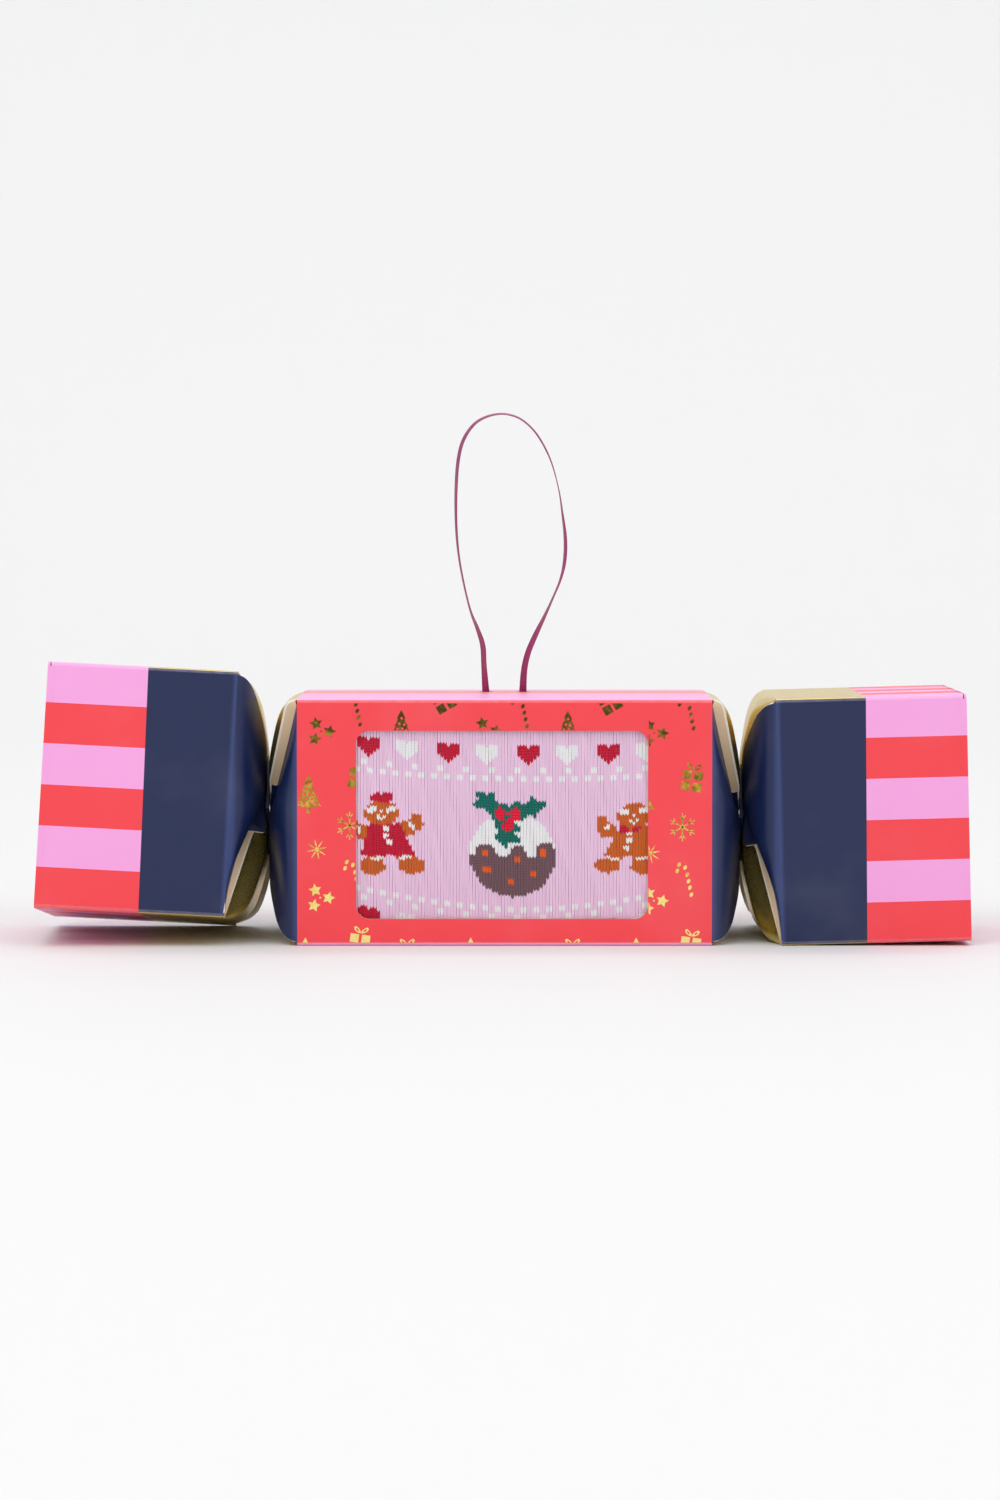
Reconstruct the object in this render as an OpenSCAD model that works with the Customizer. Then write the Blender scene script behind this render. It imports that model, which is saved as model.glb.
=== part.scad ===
// Folded card gift cracker: a long box with a window, a short box at each end,
// two necks twisted a quarter turn, a ribbon loop, and a pair of socks inside.

/* [Box] */
// Side of the square section
side = 65; // [56:1:74]
// Length of the middle box
centre_len = 109; // [98:1:125]
// Length of each end box, from its neck crease to its lid
cap_len = 50; // [40:1:60]
// Thickness of the card
card = 0.6; // [0.4:0.1:0.8]
// Outside radius of the long creases
crease_r = 1.2; // [1:0.1:1.6]
// Gap left at a crease that moves
crease_gap = 0.3; // [0.2:0.05:0.4]
// Width of the glued seam flaps
seam_w = 12; // [8:1:16]
// Distance from a box end to the end of its seam flap
seam_inset = 2.5; // [1:0.5:5]

/* [Window] */
// Distance of the window from the left end of the middle box
window_left = 15.5; // [12:0.1:24]
// Distance of the window from the right end of the middle box
window_right = 16.8; // [12:0.1:24]
// Distance of the window below the top of the box
window_top = 8.4; // [8:0.1:14]
// Distance of the window above the bottom of the box
window_bottom = 7.1; // [5:0.1:12]
// Radius of the window corners
window_r = 3.5; // [1:0.5:8]

/* [Twisted necks] */
// Distance between the two creases of a neck
neck_gap = 17.5; // [14:0.5:24]
// Distance from the axis to a corner of the pinched waist
waist_r = 12.5; // [9:0.5:16]
// Thickness of the pinched waist along the neck
waist_len = 1; // [0.6:0.1:2]

/* [Posture of the end boxes] */
// Angle by which the front of the left end box is lifted
left_roll = 7; // [0:0.5:12]
// Angle by which the outer end of the left end box is lifted
left_tilt = 3; // [0:0.5:5]
// Angle by which the front of the right end box is lifted
right_roll = 0; // [0:0.5:12]
// Angle by which the outer end of the right end box is lifted
right_tilt = 1.5; // [0:0.5:5]

/* [End closures] */
// Length of the tongue that tucks in behind the lid
tongue_len = 12; // [8:1:16]
// Distance from the box walls to the sides of the tongue
tongue_inset = 2; // [1.5:0.5:5]
// Radius of the tongue corners
tongue_r = 6; // [2:1:7]
// Angle by which the tongue is folded past square
tongue_fold = 10; // [8:1:14]
// Reach of each dust flap across the opening
dust_len = 24; // [16:1:26]
// Slope of the dust flap edge under the lid crease
dust_taper = 32; // [30:1:40]

/* [Ribbon] */
// Width of the ribbon
ribbon_w = 3; // [2.4:0.1:3.4]
// Distance between the two ribbon holes
hole_pitch = 10; // [9:0.5:12]
// Clearance round the ribbon in its hole
hole_clear = 0.4; // [0.3:0.1:0.8]
// Distance of the holes behind the middle of the top panel
hole_back = 17; // [0:1:20]
// Diameter of the knot under the top panel
knot_d = 3.6; // [3.4:0.1:3.8]

/* [Socks] */
// Gap between the front panel and the sock behind the window
sock_gap = 1.2; // [1:0.1:2]
// Distance from each end of the middle box to the folded socks
sock_end_gap = 3.5; // [2:0.5:10]
// Thickness of each folded sock
sock_t = 25; // [18:1:25]
// Radius of the folds at the sock ends
sock_r = 9; // [4:1:12]
// Distance from each end of the socks to the end of the card between them
insert_inset = 3; // [1:0.5:6]

/* [Hidden] */
$fn = 32;

// Overrun of every cut past the face that it opens
over = 1;
// Angle by which each wall is turned back from the front place, about the long axis
front_angle = 0;
top_angle = 90;
back_angle = 180;
bottom_angle = 270;

// Where the end walls stop, measured from the neck crease of the end box
wall_len = cap_len - card - crease_gap;
// Size and middle of the window
window_len = centre_len - window_left - window_right;
window_h = side - window_top - window_bottom;
window_x = (window_left - window_right) / 2;
window_z = window_bottom + window_h / 2;
// Top of the knot, just under the top panel, and of the socks below it
knot_top = side - card - crease_gap;
sock_top = knot_top - knot_d - crease_gap;
sock_len = centre_len - 2 * sock_end_gap;
sock_front_y = -side / 2 + card + sock_gap;
insert_y = sock_front_y + sock_t + crease_gap;
sock_back_y = insert_y + card + crease_gap;

// Route of the ribbon above the top panel: across the box and up, chosen by eye
ribbon_route = [
    [-5.5, 7], [-5.8, 12.5], [-7.2, 17], [-9.2, 22], [-11, 29], [-12.5, 37], [-13.2, 45],
    [-13.2, 54], [-12.5, 63], [-10.8, 69], [-7.2, 73.5], [-1.8, 75.5], [3.2, 74.8],
    [7.2, 72], [10.2, 68], [12.8, 62.5], [14.8, 55], [15.8, 48], [16.5, 41.5], [16.3, 35.5],
    [15.2, 30.5], [13.2, 25.5], [11, 20.5], [8.6, 15.5], [6.5, 10.5], [5.4, 5.5]
];
ribbon_sides = 8;

// Shares of a web's fall towards the axis at each row of its grid, and of its width
web_row_shares = [0, 0.03, 0.1, 0.22, 0.4, 0.6, 0.8, 0.93, 1];
web_col_shares = [0, 0.25, 0.5, 0.75, 1];
// How sharply a web leaves its crease: straight at one edge, bowed at the other
straight_power = 1.05;
bowed_power = 0.4;
// Share of the waist side that each end of a web keeps clear of its neighbour
waist_clear_share = 0.08;

// The modules take an end as s, which is -1 at the left and 1 at the right
function roll_of(s) = s < 0 ? -left_roll : -right_roll;
function tilt_of(s) = s < 0 ? left_tilt : right_tilt;
function mix(a, b, t) = a + (b - a) * t;

// Height of an end box's centre line when its lowest long crease stands on the floor
function cap_z(s) =
    let (a = abs(roll_of(s)))
    cos(tilt_of(s)) * ((side / 2 - crease_r) * (sin(a) + cos(a)) + crease_r);

// A point of a cross section turned about the long axis
function turned(p, a) = [p[0] * cos(a) - p[1] * sin(a), p[0] * sin(a) + p[1] * cos(a)];

// A point given in an end box's own frame, moved to its place
function cap_point(s, p) =
    let (yz = turned([p[1], p[2]], roll_of(s)), b = -s * tilt_of(s), x = s * p[0])
    [
        s * (centre_len / 2 + neck_gap) + x * cos(b) + yz[1] * sin(b),
        yz[0],
        cap_z(s) - x * sin(b) + yz[1] * cos(b)
    ];

// Middle of a neck's waist, and the turn of its corners
function waist_mid(s) = [s * (centre_len + neck_gap) / 2, 0, (side / 2 + cap_z(s)) / 2];
function waist_corner(s, a) =
    let (p = turned([-waist_r, 0], a + roll_of(s) / 2))
    waist_mid(s) + [0, p[0], p[1]];

// Crease end points of wall k of the middle box: first the straight edge, then the bowed one
function inner_crease(s, k, inset) =
    let (h = side / 2 - inset, e = side / 2 - crease_r)
    [for (z = [e, -e])
        let (p = turned([-h, z], -k)) [s * centre_len / 2, p[0], side / 2 + p[1]]];

// The same for wall k of an end box, whose straight edge is the lower one
function outer_crease(s, k, inset) =
    let (h = side / 2 - inset, e = side / 2 - crease_r)
    [for (z = [-e, e])
        let (p = turned([-h, z], -k)) cap_point(s, [0, p[0], p[1]])];

// One surface of a web, as a grid of rows from the crease to the waist
function web_grid(crease, waist) = [
    for (f = web_row_shares, v = web_col_shares)
        let (a = mix(crease[0], crease[1], v),
             w = mix(waist[0], waist[1], mix(waist_clear_share, 1 - waist_clear_share, v)),
             g = pow(f, mix(straight_power, bowed_power, v)))
        [mix(a[0], w[0], g), mix(a[1], w[1], f), mix(a[2], w[2], f)]
];

// Direction square to a web's surface at row i and column j, from its neighbours there
function web_normal(grid, i, j) =
    let (rows = len(web_row_shares), cols = len(web_col_shares),
         down = grid[min(i + 1, rows - 1) * cols + j] - grid[max(i - 1, 0) * cols + j],
         along = grid[i * cols + min(j + 1, cols - 1)] - grid[i * cols + max(j - 1, 0)],
         n = cross(down, along))
    n / norm(n);

// Triangles of a grid of rows and columns whose first point has index start
function grid_faces(rows, cols, start, flip) = [
    for (i = [0:rows - 2], j = [0:cols - 2])
        let (a = start + i * cols + j, b = a + 1, c = a + cols, d = c + 1)
        each flip ? [[a, c, d], [a, d, b]] : [[a, d, c], [a, b, d]]
];

// The border of that grid, in order round it
function border(rows, cols) = concat(
    [for (j = [0:cols - 2]) j],
    [for (i = [0:rows - 2]) i * cols + cols - 1],
    [for (j = [cols - 1:-1:1]) (rows - 1) * cols + j],
    [for (i = [rows - 1:-1:1]) i * cols]
);

// A sheet between an outer and an inner surface that have the same grid
module sheet(outer, inner, rows, cols, flip) {
    n = rows * cols;
    rim = border(rows, cols);
    m = len(rim);
    rim_faces = [
        for (i = [0:m - 1])
            let (a = rim[i], b = rim[(i + 1) % m])
            each flip ? [[a, b, b + n], [a, b + n, a + n]] : [[a, b + n, b], [a, a + n, b + n]]
    ];
    polyhedron(
        points = concat(outer, inner),
        faces = concat(
            grid_faces(rows, cols, 0, flip), grid_faces(rows, cols, n, !flip), rim_faces)
    );
}

// A web from its crease to the waist, whose lining is the crease on the card's inner face.
// Its last row is lined as the one before, so that the card stays clear of the waist.
module web(s, crease, lining, waist) {
    rows = len(web_row_shares);
    cols = len(web_col_shares);
    outer = web_grid(crease, waist);
    inner = [
        for (i = [0:rows - 1], j = [0:cols - 1])
            i == 0 ? lining[0] + (lining[1] - lining[0]) * web_col_shares[j]
                : outer[i * cols + j] + s * card * web_normal(outer, min(i, rows - 2), j)
    ];
    sheet(outer, inner, rows, cols, s < 0);
}

// A web of neck s on the middle box's wall k, up to the waist
module inner_web(s, k) {
    stop = s * (waist_len / 2 + crease_gap);
    ends = [for (turn = [0, 90]) waist_corner(s, turn - k) - [stop, 0, 0]];
    web(s, inner_crease(s, k, 0), inner_crease(s, k, card), ends);
}

// A web of neck s on the end box's wall k, up to the waist
module outer_web(s, k) {
    stop = s * (waist_len / 2 + crease_gap);
    ends = [for (turn = [0, -90]) waist_corner(s, turn - k) + [stop, 0, 0]];
    web(s, outer_crease(s, k, 0), outer_crease(s, k, card), ends);
}

// A rectangle with round corners, about the origin
module round_rect(size, r) {
    square([size[0] - 2 * r, size[1]], center = true);
    square([size[0], size[1] - 2 * r], center = true);
    for (x = [-1, 1], y = [-1, 1])
        translate([x * (size[0] / 2 - r), y * (size[1] / 2 - r)]) circle(r = r);
}

// A cross section drawn in Y and Z, drawn out along X
module along_x(len) {
    rotate([90, 0, 90]) linear_extrude(len) children();
}

// A shape drawn in X and Z, drawn out along -Y
module along_y(len) {
    rotate([90, 0, 0]) linear_extrude(len) children();
}

// One wall of the square card tube, mitred at its creases
module wall_profile(k) {
    intersection() {
        difference() {
            round_rect([side, side], crease_r);
            round_rect([side - 2 * card, side - 2 * card], crease_r - card);
        }
        rotate(-k) polygon([[0, 0], [-side, side], [-side, -side]]);
    }
}

module centre_wall(k) {
    translate([-centre_len / 2, 0, side / 2]) along_x(centre_len) wall_profile(k);
}

// Puts a piece drawn in an end box's own frame, outwards along +X, in its place
module place_cap(s) {
    translate([s * (centre_len / 2 + neck_gap), 0, cap_z(s)])
        rotate([roll_of(s), -s * tilt_of(s), 0])
            mirror([s < 0 ? 1 : 0, 0, 0]) children();
}

module cap_wall(s, k) {
    place_cap(s) along_x(wall_len) wall_profile(k);
}

// Seam flap glued to the inside of the back wall, along its lower crease
module seam_flap(len) {
    translate([seam_inset, side / 2 - 2 * card, -side / 2 + crease_r + crease_gap])
        cube([len - 2 * seam_inset, card, seam_w]);
}

module centre_front_panel() {
    color("tomato") difference() {
        centre_wall(front_angle);
        translate([window_x, -side / 2 + card + over, window_z])
            along_y(card + 2 * over) round_rect([window_len, window_h], window_r);
    }
}

module centre_top_panel() {
    color("orchid") difference() {
        centre_wall(top_angle);
        for (x = [-1, 1])
            translate([x * hole_pitch / 2, hole_back, side - card - over])
                cylinder(h = card + 2 * over, r = ribbon_w / 2 + hole_clear);
    }
}

module centre_back_panel() {
    color("tomato") centre_wall(back_angle);
}

module centre_bottom_panel() {
    color("orchid") centre_wall(bottom_angle);
}

module centre_seam_flap() {
    color("ivory") translate([-centre_len / 2, 0, side / 2]) seam_flap(centre_len);
}

module cap_seam_flap(s) {
    color("ivory") place_cap(s) seam_flap(wall_len);
}

// Front and back walls of the end boxes are navy next to the neck, the others gold
module cap_panel(s, k) {
    color(k % 180 == 0 ? "midnightblue" : "goldenrod") cap_wall(s, k);
}

module end_lid(s) {
    color("orchid") place_cap(s)
        translate([cap_len - card, 0, 0]) along_x(card) round_rect([side, side], crease_r);
}

// Tongue on the lid's lower edge, folded a little past square into the box
module tuck_tongue(s) {
    width = side - 2 * card - 2 * tongue_inset;
    color("ivory") place_cap(s)
        translate([wall_len, 0, -side / 2 + card + crease_gap])
            rotate([0, tongue_fold, 0]) linear_extrude(card) intersection() {
                round_rect([2 * tongue_len, width], tongue_r);
                translate([-tongue_len, -width / 2]) square([tongue_len, width]);
            }
}

// Dust flap on the front wall (y = -1) or the back wall (y = 1), just inside the lid
module dust_flap(s, y) {
    root = side / 2 - card - crease_gap;
    top = side / 2 - card - 2 * crease_gap;
    low = -top + tongue_len * sin(tongue_fold) + 2 * card;
    drop = dust_len * tan(dust_taper);
    color("ivory") place_cap(s) translate([wall_len - card, 0, 0]) along_x(card)
        polygon([
            [y * root, low], [y * root, top],
            [y * (root - dust_len), top - drop], [y * (root - dust_len), low]
        ]);
}

// The ring where the four panels of a neck are pinched together
module neck_waist(s) {
    color("darkkhaki") translate(waist_mid(s) - [waist_len / 2, 0, 0])
        along_x(waist_len) rotate(roll_of(s) / 2) difference() {
            circle(r = waist_r, $fn = 4);
            circle(r = waist_r - 2 * card, $fn = 4);
        }
}

module neck_inner_web(s, k) {
    color(k % 180 == 0 ? "midnightblue" : "goldenrod") inner_web(s, k);
}

module neck_outer_web(s, k) {
    color(k % 180 == 0 ? "midnightblue" : "goldenrod") outer_web(s, k);
}

// The ribbon loop: a slim tube along the route, standing on the knot
module ribbon_loop() {
    ends = [for (x = [-1, 1]) [x * hole_pitch / 2, knot_top]];
    above = [for (p = ribbon_route) [p[0], side + p[1]]];
    path = concat([ends[0]], above, [ends[1]]);
    last = len(path) - 1;
    rings = [
        for (i = [0:last])
            let (a = path[max(i - 1, 0)], b = path[min(i + 1, last)],
                 level = i == 0 || i == last,
                 d = level ? [0, i == 0 ? 1 : -1] : (b - a) / norm(b - a))
            each [for (j = [0:ribbon_sides - 1])
                let (t = 360 * j / ribbon_sides, across = ribbon_w / 2 * cos(t))
                [path[i][0] + d[1] * across, hole_back + ribbon_w / 2 * sin(t),
                 path[i][1] - d[0] * across]]
    ];
    walls = [
        for (i = [0:last - 1], j = [0:ribbon_sides - 1])
            let (a = i * ribbon_sides + j, b = i * ribbon_sides + (j + 1) % ribbon_sides)
            each [[a, b, b + ribbon_sides], [a, b + ribbon_sides, a + ribbon_sides]]
    ];
    caps = [
        [for (j = [ribbon_sides - 1:-1:0]) j],
        [for (j = [0:ribbon_sides - 1]) last * ribbon_sides + j]
    ];
    color("mediumvioletred") polyhedron(points = rings, faces = concat(walls, caps));
}

// The knot inside the box, which both ends of the ribbon come down to
module ribbon_knot() {
    color("mediumvioletred") translate([0, hole_back, knot_top - knot_d])
        linear_extrude(knot_d) round_rect([hole_pitch + knot_d, knot_d], knot_d / 3);
}

// A folded sock, standing on the bottom panel with its front face at y
module folded_sock(y) {
    floor_z = card + crease_gap;
    translate([0, y + sock_t / 2, floor_z])
        linear_extrude(sock_top - floor_z) round_rect([sock_len, sock_t], sock_r);
}

module sock_front() {
    color("pink") folded_sock(sock_front_y);
}

module sock_back() {
    color("pink") folded_sock(sock_back_y);
}

module card_insert() {
    floor_z = card + crease_gap;
    insert_len = sock_len - 2 * insert_inset;
    color("burlywood") translate([-insert_len / 2, insert_y, floor_z])
        cube([insert_len, card, sock_top - floor_z - crease_r]);
}

centre_front_panel();
centre_top_panel();
centre_back_panel();
centre_bottom_panel();
centre_seam_flap();
cap_panel(-1, front_angle);  // left_cap_front_panel
cap_panel(-1, top_angle);  // left_cap_top_panel
cap_panel(-1, back_angle);  // left_cap_back_panel
cap_panel(-1, bottom_angle);  // left_cap_bottom_panel
cap_seam_flap(-1);  // left_cap_seam_flap
cap_panel(1, front_angle);  // right_cap_front_panel
cap_panel(1, top_angle);  // right_cap_top_panel
cap_panel(1, back_angle);  // right_cap_back_panel
cap_panel(1, bottom_angle);  // right_cap_bottom_panel
cap_seam_flap(1);  // right_cap_seam_flap
end_lid(-1);  // left_end_lid
tuck_tongue(-1);  // left_tuck_tongue
dust_flap(-1, -1);  // left_dust_flap_front
dust_flap(-1, 1);  // left_dust_flap_back
end_lid(1);  // right_end_lid
tuck_tongue(1);  // right_tuck_tongue
dust_flap(1, -1);  // right_dust_flap_front
dust_flap(1, 1);  // right_dust_flap_back
neck_inner_web(-1, front_angle);  // left_neck_inner_web_front
neck_inner_web(-1, top_angle);  // left_neck_inner_web_top
neck_inner_web(-1, back_angle);  // left_neck_inner_web_back
neck_inner_web(-1, bottom_angle);  // left_neck_inner_web_bottom
neck_waist(-1);  // left_neck_waist
neck_outer_web(-1, front_angle);  // left_neck_outer_web_front
neck_outer_web(-1, top_angle);  // left_neck_outer_web_top
neck_outer_web(-1, back_angle);  // left_neck_outer_web_back
neck_outer_web(-1, bottom_angle);  // left_neck_outer_web_bottom
neck_inner_web(1, front_angle);  // right_neck_inner_web_front
neck_inner_web(1, top_angle);  // right_neck_inner_web_top
neck_inner_web(1, back_angle);  // right_neck_inner_web_back
neck_inner_web(1, bottom_angle);  // right_neck_inner_web_bottom
neck_waist(1);  // right_neck_waist
neck_outer_web(1, front_angle);  // right_neck_outer_web_front
neck_outer_web(1, top_angle);  // right_neck_outer_web_top
neck_outer_web(1, back_angle);  // right_neck_outer_web_back
neck_outer_web(1, bottom_angle);  // right_neck_outer_web_bottom
ribbon_loop();
ribbon_knot();
sock_front();
sock_back();
card_insert();
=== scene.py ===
import math
import random

import bmesh
import bpy
from mathutils import Euler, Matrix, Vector


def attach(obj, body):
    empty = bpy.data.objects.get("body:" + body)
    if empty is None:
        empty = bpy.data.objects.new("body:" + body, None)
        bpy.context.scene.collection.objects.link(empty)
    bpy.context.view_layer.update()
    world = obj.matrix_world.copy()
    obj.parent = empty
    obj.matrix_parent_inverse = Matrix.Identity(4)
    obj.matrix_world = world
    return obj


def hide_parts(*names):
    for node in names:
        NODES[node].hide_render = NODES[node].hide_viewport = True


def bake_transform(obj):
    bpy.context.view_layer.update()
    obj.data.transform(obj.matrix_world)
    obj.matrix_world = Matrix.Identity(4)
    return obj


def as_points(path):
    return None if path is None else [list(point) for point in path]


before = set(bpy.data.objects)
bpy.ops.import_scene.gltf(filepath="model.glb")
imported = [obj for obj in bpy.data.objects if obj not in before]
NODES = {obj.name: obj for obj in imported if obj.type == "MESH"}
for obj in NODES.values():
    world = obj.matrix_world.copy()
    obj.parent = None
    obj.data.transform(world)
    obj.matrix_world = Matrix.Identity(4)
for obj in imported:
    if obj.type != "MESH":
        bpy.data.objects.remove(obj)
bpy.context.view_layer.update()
random.seed(11)

# ---- sizes, in millimetres
MM = 0.001
SIDE, HALF, LENGTH = 65.0, 32.5, 109.0      # the middle box: across, half of that, along
CARD, CREASE = 0.6, 1.2                     # the card's thickness and its folds' radius
CAP_LEN, NECK, GAP = 50.0, 17.5, 0.3
WAIST_R, WAIST_LEN = 12.5, 1.0
ROLL, TILT = {-1: -7.0, 1: 0.0}, {-1: 3.0, 1: 1.5}      # each end box's, in degrees
END = {-1: "left", 1: "right"}
WALLS = {"front": 0, "top": 90, "back": 180, "bottom": 270}
WINDOW = (-39.0, 37.7, 7.1, 56.6)           # left, right, bottom, top
HOLE_X, HOLE_Y, KNOT_TOP = 5.0, 17.0, 64.1
PRINT_DEPTH = 0.12                          # how far the print's mask reaches into the card
EDGE_SOFT = 0.04                            # half the width over which one print ends
TOP_REFLECTION_BAND, TOP_REFLECTION_SOFT = (3.6, 22.5), 0.3      # a painted reflection: the peach band along the middle box's top
PINK_FOOT = 0.75                            # the bottom's print shows on the front up to here
NAVY_LEN, NAVY_SLANT = 23.1, 0.016          # an end box's plain band beside the neck
WEAR_FROM, WEAR_SOFT = 2.2e-7, 1.5e-7       # where a fold is worn, in square metres


def rad(a):
    return math.radians(a)


def mix(a, b, t):
    return a + (b - a) * t


def smooth(lo, hi, x):
    t = min(max((x - lo) / (hi - lo), 0.0), 1.0)
    return t * t * (3 - 2 * t)


def cap_height(s):
    a = rad(abs(ROLL[s]))
    return math.cos(rad(TILT[s])) * ((HALF - CREASE) * (math.sin(a) + math.cos(a)) + CREASE)


def cap_rotation(s):
    return Euler((rad(ROLL[s]), rad(-s * TILT[s]), 0))


def cap_origin(s):
    return Vector((s * (LENGTH / 2 + NECK), 0, cap_height(s)))


def turned(y, z, a):
    a = rad(a)
    return y * math.cos(a) - z * math.sin(a), y * math.sin(a) + z * math.cos(a)


def cap_point(s, x, y, z):
    """A point of an end box's own frame, whose X runs outwards, in the row frame."""
    v = Vector((s * x, y, z))
    v.rotate(cap_rotation(s))
    return v + cap_origin(s)


def waist_middle(s):
    return Vector((s * (LENGTH + NECK) / 2, 0, (HALF + cap_height(s)) / 2))


def in_scene(name, data):
    obj = bpy.data.objects.new(name, data)
    bpy.context.scene.collection.objects.link(obj)
    return obj


# ---- camera
camera = in_scene("camera", bpy.data.cameras.new("camera"))
bpy.context.scene.camera = camera
camera.location = (-0.0012, -1.2675, 0.115)
camera.rotation_euler = (rad(87.06), 0, 0)
camera.data.sensor_width = 36
camera.data.lens = 113.1


# ---- materials
def lin(code):
    """A hex colour in sRGB, as linear RGBA."""
    out = []
    for i in (0, 2, 4):
        c = int(code[i:i + 2], 16) / 255
        out.append(c / 12.92 if c <= 0.04045 else ((c + 0.055) / 1.055) ** 2.4)
    return (*out, 1.0)


class Shader:
    """A node material made in short calls. A socket or a plain value fits everywhere."""

    def __init__(self, name):
        self.mat = bpy.data.materials.new(name)
        self.mat.use_nodes = True
        self.tree = self.mat.node_tree
        self.tree.nodes.clear()
        self.bsdf = self.add("ShaderNodeBsdfPrincipled")
        out = self.add("ShaderNodeOutputMaterial")
        self.tree.links.new(self.bsdf.outputs[0], out.inputs[0])
        self.coord = self.add("ShaderNodeTexCoord").outputs["Object"]

    def add(self, kind, inputs=None, **props):
        n = self.tree.nodes.new(kind)
        for k, v in props.items():
            setattr(n, k, v)
        for k, v in (inputs or {}).items():
            self.put(n.inputs[k], v)
        return n

    def put(self, socket, value):
        if isinstance(value, bpy.types.NodeSocket):
            self.tree.links.new(value, socket)
        else:
            socket.default_value = value

    def math(self, op, a, b=0.0, clamp=False):
        n = self.add("ShaderNodeMath", {0: a, 1: b}, operation=op, use_clamp=clamp)
        return n.outputs[0]

    def plus(self, a, b):
        return self.math("ADD", a, b)

    def minus(self, a, b):
        return self.math("SUBTRACT", a, b)

    def times(self, a, b):
        return self.math("MULTIPLY", a, b)

    def rest(self, share):
        """What a share leaves of 1."""
        return self.minus(1.0, share)

    def above(self, x, edge, soft=EDGE_SOFT * MM):
        """0 where x lies below the edge and 1 above it."""
        n = self.add("ShaderNodeMapRange", {0: x, 1: edge - soft, 2: edge + soft},
                     interpolation_type="SMOOTHSTEP")
        return n.outputs[0]

    def blend(self, share, a, b):
        """Colour a, with a share of colour b."""
        return self.add("ShaderNodeMix", {0: share, 6: a, 7: b}, data_type="RGBA").outputs[2]

    def noise(self, scale, detail, rough, vector=None):
        n = self.add("ShaderNodeTexNoise", {"Vector": vector or self.coord, "Scale": scale,
                                            "Detail": detail, "Roughness": rough})
        return n.outputs["Fac"]

    def scaled(self, scale):
        return self.add("ShaderNodeMapping", {"Vector": self.coord, "Scale": scale}).outputs[0]

    def xyz(self, vector=None):
        return self.add("ShaderNodeSeparateXYZ", {0: vector or self.coord}).outputs[:3]

    def bump(self, height, distance, strength, normal=None):
        inputs = {"Height": height, "Distance": distance, "Strength": strength}
        if normal is not None:
            inputs["Normal"] = normal
        return self.add("ShaderNodeBump", inputs).outputs[0]

    def ramp(self, x, stops):
        n = self.add("ShaderNodeValToRGB", {0: x})
        e = n.color_ramp.elements
        while len(e) < len(stops):
            e.new(0.5)
        for i, (pos, col) in enumerate(stops):
            e[i].position, e[i].color = pos, col
        return n.outputs[0]

    def set(self, **inputs):
        for k, v in inputs.items():
            self.put(self.bsdf.inputs[k.replace("_", " ")], v)
        return self.mat


CORAL, PINK, NAVY = lin("F4414B"), lin("F4A4DF"), lin("11204C")
# The paler navy is a painted highlight beside the necks' creases; the peach is a painted
# reflection along the middle box's top.
NAVY_HIGHLIGHT, GOLD_INK, TOP_REFLECTION = lin("34447A"), lin("D6BC62"), lin("EF8A72")
BOARD, EDGE = lin("DDC09C"), lin("FCF7EA")
BOARD_ROUGH, PRINT_GLOSS = 0.78, 0.40  # roughness, and what print takes off it
INK_METAL, INK_GLOSS = 0.9, 0.10  # the same for the gold ink, and its metal


def board_colour(sh):
    """Bare board: cream with short fibres and a few specks."""
    fibres = sh.noise(1, 3, 0.6, sh.scaled((2600, 900, 900)))
    specks = sh.noise(5200, 1, 0.5)
    c = sh.blend(sh.times(fibres, 0.35), BOARD, lin("EAD5B6"))
    return sh.blend(sh.times(sh.above(specks, 0.71, 0.03), 0.25), c, lin("A98C6B"))


def tube_distance(sh, y, z):
    """Distance outside the rounded square section, below 0 within the card, and a value
    that grows over the rounding of each fold."""
    qy = sh.minus(sh.math("ABSOLUTE", y), (HALF - CREASE) * MM)
    qz = sh.minus(sh.math("ABSOLUTE", z), (HALF - CREASE) * MM)
    py, pz = sh.math("MAXIMUM", qy, 0), sh.math("MAXIMUM", qz, 0)
    round_part = sh.math("SQRT", sh.plus(sh.times(py, py), sh.times(pz, pz)))
    flat_part = sh.math("MINIMUM", sh.math("MAXIMUM", qy, qz), 0)
    d = sh.minus(sh.plus(round_part, flat_part), CREASE * MM)
    return d, sh.times(py, pz)


def printed_there(sh, d):
    """1 in the skin of the tube, where the print lies, and 0 deeper in the card."""
    return sh.above(d, -PRINT_DEPTH * MM)


def striped(sh, along):
    """Where a place lies in its pair of stripes, from 0, and the coral one's share of it."""
    phase = sh.math("FRACT", sh.math("DIVIDE", sh.plus(along, HALF * MM), SIDE / 3 * MM))
    return phase, sh.above(phase, 0.5, 0.002)


def worn(sh, colour, corner, most, bare):
    """A print whose folds are rubbed in patches, at most to a share of the bare colour."""
    patches = sh.times(sh.above(corner, WEAR_FROM, WEAR_SOFT), sh.noise(500, 4, 0.7))
    return sh.blend(sh.times(patches, most), colour, lin(bare))


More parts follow.
